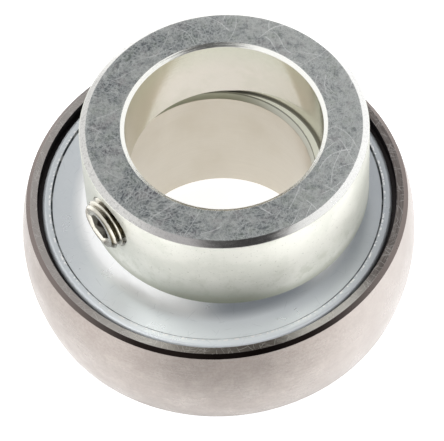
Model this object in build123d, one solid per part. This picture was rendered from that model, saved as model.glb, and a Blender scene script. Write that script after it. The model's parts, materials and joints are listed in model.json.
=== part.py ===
from build123d import *
import math
import os

# Radial insert ball bearing with an eccentric locking collar.
# Millimetres. The origin is the centre of the outer ring's sphere, on the bearing's axis.
# +Z points to the collar, and the bearing lies on its flat side, at half the ring width below the origin.

# Main sizes of the bearing
bore_diameter = 30.0
sphere_diameter = 62.0
outer_ring_width = 18.0
inner_ring_width = 23.8
total_length = 35.7

# Balls
ball_count = 9
ball_diameter = 9.525
pitch_diameter = (bore_diameter + sphere_diameter) / 2
groove_conformity = 0.52
ball_play = 0.03

# Outer ring
edge_chamfer_width = 0.70
edge_chamfer_height = 0.50
land_bore_inset = 2.95
land_bore_diameter = sphere_diameter - 2 * land_bore_inset
land_bore_depth = 2.0
seal_seat_step = 0.66
seal_seat_diameter = land_bore_diameter - 2 * seal_seat_step
outer_raceway_depth = 1.58

# Inner ring
inner_raceway_depth = 1.86
inner_shoulder_setback = 1.05
seal_land_step = 1.3175
inner_edge_chamfer = 0.40
flat_bore_chamfer_width = 0.50
flat_bore_chamfer_height = 0.80
cam_bore_chamfer_width = 0.65
cam_bore_chamfer_height = 1.15
cam_wall = 1.80
cam_edge_chamfer = 0.40
eccentricity = 0.95
cam_direction = 30.5

# Locking collar
collar_wall = 7.0
collar_diameter = bore_diameter + 2 * collar_wall
collar_bore_room = 0.10
collar_bore_diameter = bore_diameter + 2 * collar_bore_room
collar_standoff = 1.95
collar_direction = -4.5
collar_top_chamfer_width = 1.05
collar_top_chamfer_height = 0.70
collar_foot_chamfer = 0.15
collar_bore_chamfer_width = 0.65
collar_bore_chamfer_height = 0.45
recess_entry_chamfer = 0.30
collar_foot_gap = 0.50
collar_end_gap = 0.20
cam_clearance = 0.20

# Set screw in the collar
screw_diameter = 8.0
screw_length = 8.0
screw_azimuth = 213.5
screw_below_top = 6.2
screw_protrusion = 1.7
screw_end_chamfer = 0.60
socket_across_flats = 4.0
socket_depth = 4.0
cup_diameter = 4.4
cup_depth = 1.0
thread_clearance = 0.04
hole_countersink = 0.25

# Ball cage, moulded in one piece
cage_band_width = 3.40
cage_inner_diameter = pitch_diameter - cage_band_width
cage_outer_diameter = pitch_diameter + cage_band_width
pocket_clearance = 0.15
prong_wall = 1.10
prong_reach = 2.40
cage_floor = 2.90
cage_side_gap = 0.30

# Seals, the same on both sides
seal_recess = 0.95
seal_sheet = 0.55
lip_thickness = 0.50
seal_fit = 0.02
seal_bend_radius = 0.70
crease_inset = 1.53
crease_diameter = seal_seat_diameter - 2 * crease_inset
crease_width = 0.28
crease_depth = 0.30
dish_width = 3.15
dish_rise = 0.80
outer_hole_gap = 0.40
inner_hole_gap = 1.20
lip_clearance = 0.08
lip_edge = 0.30
lip_root = 1.40

# What follows from the sizes above
half_width = outer_ring_width / 2
bore_radius = bore_diameter / 2
ball_radius = ball_diameter / 2
pitch_radius = pitch_diameter / 2
groove_radius = groove_conformity * ball_diameter
outer_raceway_radius = pitch_radius + ball_radius + ball_play
inner_raceway_radius = pitch_radius - ball_radius - ball_play
outer_shoulder_radius = outer_raceway_radius - outer_raceway_depth
inner_shoulder_radius = inner_raceway_radius + inner_raceway_depth
inner_ring_end = inner_ring_width - half_width
collar_top = total_length - half_width
collar_length = collar_top - half_width - collar_standoff
collar_foot = collar_top - collar_length
collar_ceiling = inner_ring_end + collar_end_gap
land_end = collar_foot - collar_foot_gap
cam_radius = bore_radius + cam_wall + eccentricity
recess_radius = cam_radius + cam_clearance
seal_face = half_width - seal_recess
seal_flat = seal_face - crease_depth
seal_foot = seal_flat - 2 * seal_sheet - lip_thickness
seal_rim_radius = seal_seat_diameter / 2 - seal_fit
seal_land_diameter = 2 * (inner_shoulder_radius - seal_land_step)
seal_land_radius = seal_land_diameter / 2
dish_diameter = seal_land_diameter + 2 * dish_width
inner_shoulder_width = 2 * (seal_foot - inner_shoulder_setback)
outer_hole_radius = seal_land_radius + outer_hole_gap
pocket_radius = ball_radius + pocket_clearance
cage_foot = -seal_foot + cage_side_gap


def at_angle(radius, degrees):
    angle = math.radians(degrees)
    return Vector(radius * math.cos(angle), radius * math.sin(angle), 0)


# The cam's axis lies off the bearing's axis, and the collar's axis lies as far off the cam's axis.
cam_axis = at_angle(eccentricity, cam_direction)
collar_axis = cam_axis + at_angle(eccentricity, collar_direction)


def turned(points):
    """Full turn about Z of a closed outline given as (radius, height) corners."""
    with BuildPart() as part:
        with BuildSketch(Plane.XZ):
            with BuildLine():
                Polyline(*points, close=True)
            make_face()
        revolve(axis=Axis.Z)
    return part.part


def groove_half_width(shoulder_radius, groove_centre):
    """Half the axial width of a raceway where it meets its shoulder."""
    return math.sqrt(groove_radius**2 - (shoulder_radius - groove_centre) ** 2)


def make_outer_ring():
    corner_height = half_width - edge_chamfer_height
    corner_radius = math.sqrt((sphere_diameter / 2) ** 2 - corner_height**2)
    groove_centre = outer_raceway_radius - groove_radius
    groove_edge = groove_half_width(outer_shoulder_radius, groove_centre)
    # one side of the section, from the raceway out over the seal seat and the land to the sphere
    side = [
        (outer_shoulder_radius, groove_edge),
        (outer_shoulder_radius, seal_foot),
        (seal_seat_diameter / 2, seal_foot),
        (seal_seat_diameter / 2, half_width - land_bore_depth),
        (land_bore_diameter / 2, half_width - land_bore_depth),
        (land_bore_diameter / 2, half_width),
        (corner_radius - edge_chamfer_width, half_width),
        (corner_radius, corner_height),
    ]
    other_side = [(radius, -height) for radius, height in side]
    with BuildPart() as part:
        with BuildSketch(Plane.XZ):
            with BuildLine():
                Polyline(*side)
                ThreePointArc(side[-1], (sphere_diameter / 2, 0), other_side[-1])
                Polyline(*other_side)
                ThreePointArc(other_side[0], (outer_raceway_radius, 0), side[0])
            make_face()
        revolve(axis=Axis.Z)
    return part.part


def bore_cutter(radius, foot, top, foot_chamfer, top_chamfer):
    """Round bore with a chamfer, given as (width, height), at each end."""
    over = 1.0
    foot_width, foot_height = foot_chamfer
    top_width, top_height = top_chamfer
    foot_slope = foot_width / foot_height
    top_slope = top_width / top_height
    return turned(
        [
            (0, foot - over),
            (radius + foot_width + over * foot_slope, foot - over),
            (radius, foot + foot_height),
            (radius, top - top_height),
            (radius + top_width + over * top_slope, top + over),
            (0, top + over),
        ]
    )


def make_inner_ring():
    groove_centre = inner_raceway_radius + groove_radius
    groove_edge = groove_half_width(inner_shoulder_radius, groove_centre)
    step = inner_shoulder_width / 2
    # down over the step to the land that the seal rides on, and round the flat end's corner
    flat_side = [
        (inner_shoulder_radius, -groove_edge),
        (inner_shoulder_radius, -step),
        (seal_land_radius, -step),
        (seal_land_radius, -half_width + inner_edge_chamfer),
        (seal_land_radius - inner_edge_chamfer, -half_width),
        (0, -half_width),
    ]
    cam_side = [
        (0, land_end),
        (seal_land_radius - inner_edge_chamfer, land_end),
        (seal_land_radius, land_end - inner_edge_chamfer),
        (seal_land_radius, step),
        (inner_shoulder_radius, step),
        (inner_shoulder_radius, groove_edge),
    ]
    with BuildPart() as part:
        with BuildSketch(Plane.XZ):
            with BuildLine():
                ThreePointArc(
                    (inner_shoulder_radius, groove_edge),
                    (inner_raceway_radius, 0),
                    (inner_shoulder_radius, -groove_edge),
                )
                Polyline(*flat_side, *cam_side)
            make_face()
        revolve(axis=Axis.Z)
    # the cam, an eccentric spigot that the collar's recess turns on
    cam_foot = land_end - inner_edge_chamfer
    cam = turned(
        [
            (0, cam_foot),
            (cam_radius, cam_foot),
            (cam_radius, inner_ring_end - cam_edge_chamfer),
            (cam_radius - cam_edge_chamfer, inner_ring_end),
            (0, inner_ring_end),
        ]
    )
    bore = bore_cutter(
        bore_radius,
        -half_width,
        inner_ring_end,
        (flat_bore_chamfer_width, flat_bore_chamfer_height),
        (cam_bore_chamfer_width, cam_bore_chamfer_height),
    )
    return part.part + Pos(cam_axis.X, cam_axis.Y, 0) * cam - bore


def screw_location():
    """Frame of the set screw: Z runs outward along the screw, from the collar's own axis."""
    outward = at_angle(1, screw_azimuth)
    origin = Vector(collar_axis.X, collar_axis.Y, collar_top - screw_below_top)
    return Location(Plane(origin=origin, x_dir=(0, 0, 1), z_dir=outward))


def make_locking_collar():
    outer_radius = collar_diameter / 2
    blank = turned(
        [
            (0, collar_foot),
            (outer_radius - collar_foot_chamfer, collar_foot),
            (outer_radius, collar_foot + collar_foot_chamfer),
            (outer_radius, collar_top - collar_top_chamfer_height),
            (outer_radius - collar_top_chamfer_width, collar_top),
            (0, collar_top),
        ]
    )
    bore = bore_cutter(
        collar_bore_diameter / 2,
        collar_foot,
        collar_top,
        (recess_entry_chamfer, recess_entry_chamfer),
        (collar_bore_chamfer_width, collar_bore_chamfer_height),
    )
    collar = Pos(collar_axis.X, collar_axis.Y, 0) * (blank - bore)
    # the recess that fits over the cam, cut from below about the cam's own axis
    over = 1.0
    recess = turned(
        [
            (0, collar_foot - over),
            (recess_radius + recess_entry_chamfer + over, collar_foot - over),
            (recess_radius, collar_foot + recess_entry_chamfer),
            (recess_radius, collar_ceiling),
            (0, collar_ceiling),
        ]
    )
    # the tapped hole runs out through one wall, with a small countersink at its mouth
    hole_radius = screw_diameter / 2 + thread_clearance
    mouth_radius = hole_radius + hole_countersink
    mouth_start = math.sqrt(outer_radius**2 - mouth_radius**2) - hole_countersink
    hole = turned(
        [
            (0, 0),
            (hole_radius, 0),
            (hole_radius, mouth_start),
            (mouth_radius, mouth_start + hole_countersink),
            (mouth_radius, outer_radius + over),
            (0, outer_radius + over),
        ]
    )
    return collar - Pos(cam_axis.X, cam_axis.Y, 0) * recess - screw_location() * hole


def make_set_screw():
    radius = screw_diameter / 2
    head = collar_diameter / 2 + screw_protrusion
    tip = head - screw_length
    body = turned(
        [
            (0, tip + cup_depth),
            (cup_diameter / 2, tip),
            (radius - screw_end_chamfer, tip),
            (radius, tip + screw_end_chamfer),
            (radius, head - screw_end_chamfer),
            (radius - screw_end_chamfer, head),
            (0, head),
        ]
    )
    with BuildPart() as socket:
        with BuildSketch(Plane.XY.offset(head)):
            RegularPolygon(radius=socket_across_flats / 2, side_count=6, major_radius=False)
        extrude(amount=-socket_depth)
    return screw_location() * (body - socket.part)


def ball_centres():
    return [at_angle(pitch_radius, 360 * index / ball_count) for index in range(ball_count)]


def make_ball(centre):
    return Pos(centre.X, centre.Y, 0) * Sphere(ball_radius)


def annulus(inner_radius, outer_radius, foot, top):
    return turned([(inner_radius, foot), (outer_radius, foot), (outer_radius, top), (inner_radius, top)])


def make_ball_cage():
    """Snap cage: a ring on the flat side with one open pocket for each ball, held by a pair of prongs."""
    inner_radius = cage_inner_diameter / 2
    outer_radius = cage_outer_diameter / 2
    centres = ball_centres()
    floor = annulus(inner_radius, outer_radius, cage_foot, cage_foot + cage_floor)
    crown = annulus(inner_radius, outer_radius, cage_foot, prong_reach)
    # each pocket's wall is a short barrel about the line from the axis to the ball's centre
    barrel_length = outer_radius * 1.2
    barrels = []
    for centre in centres:
        frame = Location(Plane(origin=(0, 0, 0), x_dir=(0, 0, 1), z_dir=centre.normalized()))
        barrel = Cylinder(pocket_radius + prong_wall, barrel_length, align=(Align.CENTER, Align.CENTER, Align.MIN))
        barrels.append(frame * barrel)
    prongs = crown.intersect(Part() + barrels)
    cage = floor + prongs
    for centre in centres:
        cage -= Pos(centre.X, centre.Y, 0) * Sphere(pocket_radius)
    return cage


def crease_slope():
    """Corners of the crease: its edge on the raised band and its foot on the flat, as radii."""
    middle = crease_diameter / 2
    return middle + crease_width / 2, middle - crease_width / 2


def crease_shift():
    """How much further out the crease lies on the underside, so that the sheet stays as thick there."""
    return seal_sheet * math.tan(math.atan2(crease_depth, crease_width) / 2)


def dish_height(radius):
    """Rise of the dished inner part of the outer washer above its flat face, at a radius."""
    run = dish_diameter / 2 - radius
    return dish_radius() - math.sqrt(dish_radius() ** 2 - run**2)


def dish_radius():
    """Radius of the arc that rises by the dish's full height at the edge of the washer's hole."""
    run = dish_diameter / 2 - outer_hole_radius
    return (run**2 + dish_rise**2) / (2 * dish_rise)


def make_outer_washer():
    """Pressed sheet cap of the upper seal: rolled rim, raised band, crease, flat face and dished middle."""
    crease_edge, crease_foot = crease_slope()
    dish_start = dish_diameter / 2
    dish_middle = (dish_start + outer_hole_radius) / 2
    under = seal_flat - seal_sheet
    skirt_inner = seal_rim_radius - seal_sheet
    bend = seal_bend_radius
    corner = bend * (1 - math.sqrt(0.5))
    hole_top = (outer_hole_radius, seal_flat + dish_rise)
    hole_under = (outer_hole_radius, under + dish_rise)
    with BuildPart() as part:
        with BuildSketch(Plane.XZ):
            with BuildLine():
                Polyline(
                    (seal_rim_radius - bend, seal_face),
                    (crease_edge, seal_face),
                    (crease_foot, seal_flat),
                    (dish_start, seal_flat),
                )
                ThreePointArc(
                    (dish_start, seal_flat),
                    (dish_middle, seal_flat + dish_height(dish_middle)),
                    hole_top,
                )
                Line(hole_top, hole_under)
                ThreePointArc(
                    hole_under,
                    (dish_middle, under + dish_height(dish_middle)),
                    (dish_start, under),
                )
                Polyline(
                    (dish_start, under),
                    (crease_foot + crease_shift(), under),
                    (crease_edge + crease_shift(), seal_face - seal_sheet),
                    (skirt_inner, seal_face - seal_sheet),
                    (skirt_inner, seal_foot),
                    (seal_rim_radius, seal_foot),
                    (seal_rim_radius, seal_face - bend),
                )
                ThreePointArc(
                    (seal_rim_radius, seal_face - bend),
                    (seal_rim_radius - corner, seal_face - corner),
                    (seal_rim_radius - bend, seal_face),
                )
            make_face()
        revolve(axis=Axis.Z)
    return part.part


def make_lip():
    """Rubber disc between the two washers, with a lip that leans out and rides on the inner ring."""
    top = seal_flat - seal_sheet
    foot = top - lip_thickness
    crease_edge, crease_foot = crease_slope()
    outside = seal_rim_radius - seal_sheet - seal_fit
    contact = seal_land_radius + lip_clearance
    return turned(
        [
            (outside, foot),
            (outside, seal_face - seal_sheet),
            (crease_edge + crease_shift(), seal_face - seal_sheet),
            (crease_foot + crease_shift(), top),
            (contact + lip_root, top),
            (contact + lip_edge, seal_flat),
            (contact, seal_flat),
            (contact, seal_flat - lip_edge),
            (contact + lip_root, foot),
        ]
    )


def make_inner_washer():
    outside = seal_rim_radius - seal_sheet - seal_fit
    return annulus(seal_land_radius + inner_hole_gap, outside, seal_foot, seal_foot + seal_sheet)


def flipped(shape):
    """The same piece on the flat side of the bearing, turned over about the X axis."""
    return Rot(180, 0, 0) * shape


def export_all():
    os.makedirs("parts", exist_ok=True)
    pieces = {
        "outer_ring": make_outer_ring(),
        "inner_ring": make_inner_ring(),
        "locking_collar": make_locking_collar(),
        "set_screw": make_set_screw(),
        "ball_cage": make_ball_cage(),
    }
    for index, centre in enumerate(ball_centres()):
        pieces[f"ball_{index + 1}"] = make_ball(centre)
    for name, shape in (
        ("outer_washer", make_outer_washer()),
        ("lip", make_lip()),
        ("inner_washer", make_inner_washer()),
    ):
        pieces[f"upper_seal_{name}"] = shape
        pieces[f"lower_seal_{name}"] = flipped(shape)
    for name, shape in pieces.items():
        export_step(shape, f"parts/{name}.step")
        print(name, round(shape.volume, 1))
    print("cam axis", round(cam_axis.X, 4), round(cam_axis.Y, 4))
    print("collar axis", round(collar_axis.X, 4), round(collar_axis.Y, 4))


export_all()
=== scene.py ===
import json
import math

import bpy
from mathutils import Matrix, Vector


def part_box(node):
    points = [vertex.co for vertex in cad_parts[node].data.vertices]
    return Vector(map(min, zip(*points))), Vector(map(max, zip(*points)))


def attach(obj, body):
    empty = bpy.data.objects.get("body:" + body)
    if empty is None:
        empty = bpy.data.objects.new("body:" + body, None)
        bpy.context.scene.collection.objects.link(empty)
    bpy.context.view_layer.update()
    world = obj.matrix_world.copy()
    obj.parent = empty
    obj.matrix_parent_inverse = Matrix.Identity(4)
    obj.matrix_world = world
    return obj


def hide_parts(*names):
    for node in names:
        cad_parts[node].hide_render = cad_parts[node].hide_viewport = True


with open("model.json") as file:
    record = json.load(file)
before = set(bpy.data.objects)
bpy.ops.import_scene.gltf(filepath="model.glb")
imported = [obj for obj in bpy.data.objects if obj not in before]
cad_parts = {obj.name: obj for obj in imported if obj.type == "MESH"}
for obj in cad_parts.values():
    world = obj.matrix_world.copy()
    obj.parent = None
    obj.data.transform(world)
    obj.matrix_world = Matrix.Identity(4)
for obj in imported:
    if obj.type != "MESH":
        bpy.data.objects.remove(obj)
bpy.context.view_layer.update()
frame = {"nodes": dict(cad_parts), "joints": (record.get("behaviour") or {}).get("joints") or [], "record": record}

# %% [markdown]
# The object is an insert bearing: a ball bearing whose outer ring is a slice of a sphere, so that it can tilt in
# its housing, with a collar that locks its inner ring to a shaft. The solid pieces come from the CAD frame and
# keep their shape. This file gives them their finish, cuts the thread of the set screw and sets up the studio.
# Everything is in metres, with the origin at the sphere's centre and +Z towards the collar.

MM = 0.001
nodes = frame["nodes"]
print("CAD nodes:", len(nodes))

# %% [markdown]
# The camera looks down on the bearing from the front through a long lens, which keeps the circles close
# to true ellipses. Its height, roll and distance were fitted to those circles. It could be aimed with a
# Track To constraint, but a matrix made from three directions says exactly where it looks.

# %% Camera
CAMERA_ELEVATION = math.radians(55.962)
CAMERA_ROLL = math.radians(-3.611)
CAMERA_DISTANCE = 461.675 * MM
CAMERA_LENS = 236.35
AIM_RIGHT = 0.519 * MM
AIM_UP = 0.921 * MM

to_camera = Vector((0, -math.cos(CAMERA_ELEVATION), math.sin(CAMERA_ELEVATION)))
level_right = Vector((1, 0, 0))
level_up = to_camera.cross(level_right)
right = math.cos(CAMERA_ROLL) * level_right + math.sin(CAMERA_ROLL) * level_up
up = math.cos(CAMERA_ROLL) * level_up - math.sin(CAMERA_ROLL) * level_right

camera_data = bpy.data.cameras.new("camera")
camera_data.sensor_width = 36
camera_data.lens = CAMERA_LENS
camera_data.clip_start = 0.01
camera_data.clip_end = 20
camera = bpy.data.objects.new("camera", camera_data)
bpy.context.scene.collection.objects.link(camera)
turn = Matrix((right, up, to_camera)).transposed().to_4x4()
place = Matrix.Translation(AIM_RIGHT * right + AIM_UP * up + CAMERA_DISTANCE * to_camera)
camera.matrix_world = place @ turn
bpy.context.scene.camera = camera
bpy.context.scene.view_settings.view_transform = "Standard"
print("camera at", [round(v, 4) for v in camera.matrix_world.translation])

# %% [markdown]
# A material, a world and a shared effect are all trees of nodes. A few small helpers keep the cells
# below short. The first adds a node and fills its inputs with values or links. The others use it for
# the nodes that come back most: math with numbers and with vectors, the parts of a vector, a soft ramp
# and a mix of two colours.

# %% Helpers for node trees
def add(tree, kind, inputs=None, **settings):
    node = tree.nodes.new(kind)
    for name, value in settings.items():
        setattr(node, name, value)
    for key, value in (inputs or {}).items():
        if isinstance(value, bpy.types.NodeSocket):
            tree.links.new(value, node.inputs[key])
        else:
            node.inputs[key].default_value = value
    return node


def calc(tree, operation, *values, clamp=False):
    inputs = dict(enumerate(values))
    return add(tree, "ShaderNodeMath", inputs, operation=operation, use_clamp=clamp).outputs[0]


def vector_calc(tree, operation, first, second):
    node = add(tree, "ShaderNodeVectorMath", {0: first, 1: second}, operation=operation)
    return node.outputs["Value" if operation in ("DOT_PRODUCT", "DISTANCE") else "Vector"]


def axes_of(tree, position):
    return add(tree, "ShaderNodeSeparateXYZ", {0: position}).outputs


def ramp(tree, value, low, high, start=0.0, end=1.0):
    """Start where the value is low, end where it is high, and a soft passage between."""
    inputs = {"Value": value, "From Min": low, "From Max": high, "To Min": start, "To Max": end}
    return add(tree, "ShaderNodeMapRange", inputs, interpolation_type="SMOOTHSTEP").outputs[0]


def blend(tree, share, first, second):
    inputs = {"Factor": share, "A": first, "B": second}
    return add(tree, "ShaderNodeMix", inputs, data_type="RGBA").outputs["Result"]


def shade(red, green, blue):
    """A colour as a picture shows it, from 0 to 255, as the linear colour that a shader takes."""
    steps = [v / 255 for v in (red, green, blue)]
    linear = [s / 12.92 if s <= 0.04045 else ((s + 0.055) / 1.055) ** 2.4 for s in steps]
    return (*linear, 1.0)


def grey(level):
    return (level, level, level, 1.0)


print("mid grey is", round(shade(128, 128, 128)[0], 3))

# %% [markdown]
# Bare metal has little colour of its own: it shows the room. The room is a white tent with a grey
# ceiling, and a wide dark opening between the top and the side where the picture is taken. The grey
# ceiling is what makes the flat top faces grey, and the dark opening blackens what leans forward: the
# collar's front chamfer and the seal's dish. On each side a white screen reaches higher up, the left one
# further in, so what leans to the side is bright. An image of a studio could do this, but a few steps of
# one direction are enough.

# %% The room around the bearing
WALL_LIGHT = 1.0
CEILING_LIGHT = 0.62
CEILING_FROM = (0.50, 0.74)
OPENING_LIGHT = 0.05
OPENING_TOWARDS = Vector((0.30, -0.28, 0.91)).normalized()
OPENING_DEGREES = (42, 22)
LEFT_SCREEN_FROM = (-0.36, -0.18)
RIGHT_SCREEN_FROM = (0.46, 0.64)
RIGHT_SCREEN_TURN = -0.3

world = bpy.data.worlds.new("light_tent")
bpy.context.scene.world = world
world.use_nodes = True
sky = world.node_tree
sky.nodes.clear()
direction = add(sky, "ShaderNodeTexCoord").outputs["Generated"]
axes = axes_of(sky, direction)
facing = vector_calc(sky, "DOT_PRODUCT", direction, OPENING_TOWARDS)
outer_edge, inner_edge = (math.cos(math.radians(v)) for v in OPENING_DEGREES)
is_ceiling = ramp(sky, axes["Z"], *CEILING_FROM)
is_opening = ramp(sky, facing, outer_edge, inner_edge)
is_left = ramp(sky, axes["X"], *LEFT_SCREEN_FROM, 1.0, 0.0)
to_right = calc(sky, "MULTIPLY_ADD", axes["Y"], RIGHT_SCREEN_TURN, axes["X"])
is_right = ramp(sky, to_right, *RIGHT_SCREEN_FROM)
is_screen = calc(sky, "MAXIMUM", is_left, is_right)
tent = blend(sky, is_ceiling, grey(WALL_LIGHT), grey(CEILING_LIGHT))
room = blend(sky, is_opening, tent, grey(OPENING_LIGHT))
room = blend(sky, is_screen, room, grey(WALL_LIGHT))
background = add(sky, "ShaderNodeBackground", {"Color": room, "Strength": 1.0})
add(sky, "ShaderNodeOutputWorld", {"Surface": background.outputs[0]})
print("room light: walls", WALL_LIGHT, "ceiling", CEILING_LIGHT)

# %% [markdown]
# Two broad lamps fill in what the grey ceiling holds back, the right one from further off. Mirror rays
# don't see them, because the tent already gives the metal its highlights.

# %% Lamps
LAMP_SIZE = 0.3
LAMPS = {"lamp_left": ((-0.32, -0.12, 0.30), 0.8), "lamp_right": ((0.75, -0.10, 0.60), 3.4)}

for name, (spot, power) in LAMPS.items():
    lamp_data = bpy.data.lights.new(name, "AREA")
    lamp_data.shape = "DISK"
    lamp_data.size = LAMP_SIZE
    lamp_data.energy = power
    lamp = bpy.data.objects.new(name, lamp_data)
    lamp.location = spot
    lamp.rotation_euler = Vector(spot).to_track_quat("Z", "Y").to_euler()
    lamp.visible_glossy = False
    bpy.context.scene.collection.objects.link(lamp)
    print(name, "at", spot)

# %% [markdown]
# The floor is a wide disc under the bearing. A white surface that only scatters the light would look
# grey here, so what the camera sees of it gets some light of its own, and mirror rays see most of it
# too. Only a patch in front of the bearing is dimmer for them, which is what darkens the sphere there.
# The rest is plain diffuse white, which keeps the bearing's shadow.

# %% Floor
FLOOR_RADIUS = 3.0
FLOOR_GLOW = 0.87
MIRRORED_GLOW = 0.75
FLOOR_WHITE = 0.8
FLOOR_CORNERS = 96
floor_height = min(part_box(name)[0].z for name in nodes)
DIM_MIDDLE = (-0.003, -0.062, floor_height)
DIM_RADII = (0.012, 0.045)

floor_mesh = bpy.data.meshes.new("floor")
corners = [2 * math.pi * i / FLOOR_CORNERS for i in range(FLOOR_CORNERS)]
rim = [(FLOOR_RADIUS * math.cos(a), FLOOR_RADIUS * math.sin(a), floor_height) for a in corners]
floor_mesh.from_pydata(rim, [], [list(range(FLOOR_CORNERS))])
floor = bpy.data.objects.new("floor", floor_mesh)
bpy.context.scene.collection.objects.link(floor)

floor_paint = bpy.data.materials.new("floor_white")
floor_paint.use_nodes = True
tree = floor_paint.node_tree
tree.nodes.clear()
path = add(tree, "ShaderNodeLightPath")
spot = add(tree, "ShaderNodeTexCoord").outputs["Object"]
from_dim = vector_calc(tree, "DISTANCE", spot, DIM_MIDDLE)
undimmed = ramp(tree, from_dim, *DIM_RADII, 0.0, MIRRORED_GLOW)
mirrored = calc(tree, "MAXIMUM", path.outputs["Is Glossy Ray"], path.outputs["Is Transmission Ray"])
mirrored = calc(tree, "MULTIPLY", mirrored, undimmed)
seen = calc(tree, "MULTIPLY", path.outputs["Is Camera Ray"], FLOOR_GLOW)
glow = add(tree, "ShaderNodeEmission", {"Strength": calc(tree, "MAXIMUM", seen, mirrored)})
paint = add(tree, "ShaderNodeBsdfDiffuse", {"Color": grey(FLOOR_WHITE)})
both = add(tree, "ShaderNodeAddShader", {0: glow.outputs[0], 1: paint.outputs[0]})
add(tree, "ShaderNodeOutputMaterial", {"Surface": both.outputs[0]})
floor_mesh.materials.append(floor_paint)
print("floor at", round(floor_height / MM, 3), "mm")

# %% [markdown]
# Four effects come back in several finishes, so each is a node group, built once: the lines that a
# lathe or a grinding wheel leaves, scratches from handling, cloudy plating, and a ring-shaped mask that
# picks out one face of a turned piece. A group gives only a value. The colours stay in each material, so
# that the same scratch can be light on one metal and dark on another.

# %% Making a node group
def start_group(name, inputs, output):
    group = bpy.data.node_groups.new(name, "ShaderNodeTree")
    group.interface.new_socket(name="Position", in_out="INPUT", socket_type="NodeSocketVector")
    for label, value in inputs.items():
        socket = group.interface.new_socket(name=label, in_out="INPUT", socket_type="NodeSocketFloat")
        socket.default_value = value
    group.interface.new_socket(name=output, in_out="OUTPUT", socket_type="NodeSocketFloat")
    return group, group.nodes.new("NodeGroupInput").outputs


def end_group(group, value):
    add(group, "NodeGroupOutput", {0: value})
    print("group", group.name, "has", len(group.nodes), "nodes")
    return group


def radius_and_height(group, position):
    """The distance from the axis, and the three parts of the position, in the position's units."""
    axes = axes_of(group, position)
    square = calc(group, "MULTIPLY", axes["Y"], axes["Y"])
    return calc(group, "SQRT", calc(group, "MULTIPLY_ADD", axes["X"], axes["X"], square)), axes


# %% [markdown]
# Turning and grinding lines run round the axis. The pattern is a noise that changes fast across the
# lines and slowly along them. The sum of radius and height grows across the lines on flat faces and on
# round ones, so one group serves both, and no seam shows because no angle is used.

# %% Lines of the lathe and the grinding wheel
group, given = start_group("tool_lines", {"Lines per mm": 6.0, "Along": 0.15}, "Value")
radius, axes = radius_and_height(group, given["Position"])
across = calc(group, "MULTIPLY", calc(group, "ADD", radius, axes["Z"]), given["Lines per mm"])
along_x = calc(group, "MULTIPLY", axes["X"], given["Along"])
along_y = calc(group, "MULTIPLY", axes["Y"], given["Along"])
lines_at = add(group, "ShaderNodeCombineXYZ", {0: along_x, 1: along_y, 2: across}).outputs[0]
lines = add(group, "ShaderNodeTexNoise", {"Vector": lines_at, "Scale": 1.0, "Detail": 3.0})
tool_lines = end_group(group, lines.outputs["Fac"])

# %% [markdown]
# A hair scratch is a thin straight line of even width that starts and stops anywhere. The surface is
# divided into rows, with one line in each at a random place, and a noise along the row keeps only
# stretches of it. Copies are turned to different angles and bent a little, and the strongest counts. A
# stretched noise could draw such lines too, but their width would vary. Fine scratches need five angles
# and the few long ones three: a shader can hold only so many values at once.

# %% Scratches
BEND_SCALE = 0.13
BEND_MM = 6.0
ROWS_APART = 19.7
STRETCHES_APART = 7.31
PLACE_IN_ROW = (0.15, 0.7)
KEPT_FROM = (0.98, 1.10)


def scratch_group(name, angles):
    sizes = {"Rows per mm": 2.0, "Width": 0.05, "Length": 3.0, "Cover": 0.5}
    group, given = start_group(name, sizes, "Mask")
    noise = {"Vector": given["Position"], "Scale": BEND_SCALE, "Detail": 0.0}
    bend = {0: add(group, "ShaderNodeTexNoise", noise).outputs["Color"], "Scale": BEND_MM}
    bend_by = add(group, "ShaderNodeVectorMath", bend, operation="SCALE").outputs[0]
    bent = vector_calc(group, "ADD", given["Position"], bend_by)
    strongest = None
    for index, degrees in enumerate(angles):
        cosine, sine = math.cos(math.radians(degrees)), math.sin(math.radians(degrees))
        long_way = vector_calc(group, "DOT_PRODUCT", bent, (cosine, sine, 0))
        short_way = vector_calc(group, "DOT_PRODUCT", bent, (-sine, cosine, 0))
        place = calc(group, "MULTIPLY_ADD", short_way, given["Rows per mm"], ROWS_APART * index)
        row = calc(group, "FLOOR", place)
        chance = add(group, "ShaderNodeTexWhiteNoise", {"W": row}, noise_dimensions="1D").outputs["Value"]
        line_at = calc(group, "MULTIPLY_ADD", chance, PLACE_IN_ROW[1], PLACE_IN_ROW[0])
        off_line = calc(group, "ABSOLUTE", calc(group, "SUBTRACT", calc(group, "FRACT", place), line_at))
        off_line = calc(group, "DIVIDE", off_line, given["Rows per mm"])
        line = calc(group, "SUBTRACT", 1.0, calc(group, "DIVIDE", off_line, given["Width"]), clamp=True)
        stretch = calc(group, "DIVIDE", long_way, given["Length"])
        along = calc(group, "MULTIPLY_ADD", row, STRETCHES_APART, stretch)
        noise = {"W": along, "Scale": 1.0, "Detail": 0.0}
        pieces = add(group, "ShaderNodeTexNoise", noise, noise_dimensions="1D").outputs["Fac"]
        kept = ramp(group, calc(group, "ADD", pieces, given["Cover"]), *KEPT_FROM)
        line = calc(group, "MULTIPLY", line, kept)
        strongest = line if strongest is None else calc(group, "MAXIMUM", strongest, line)
    return end_group(group, strongest)


hair_scratches = scratch_group("hair_scratches", [8, 47, 83, 121, 158])
long_scratches = scratch_group("long_scratches", [24, 66, 139])

# %% [markdown]
# Plating is never even. Clouds of a noise, used at several sizes, give its mottled look.

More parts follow.
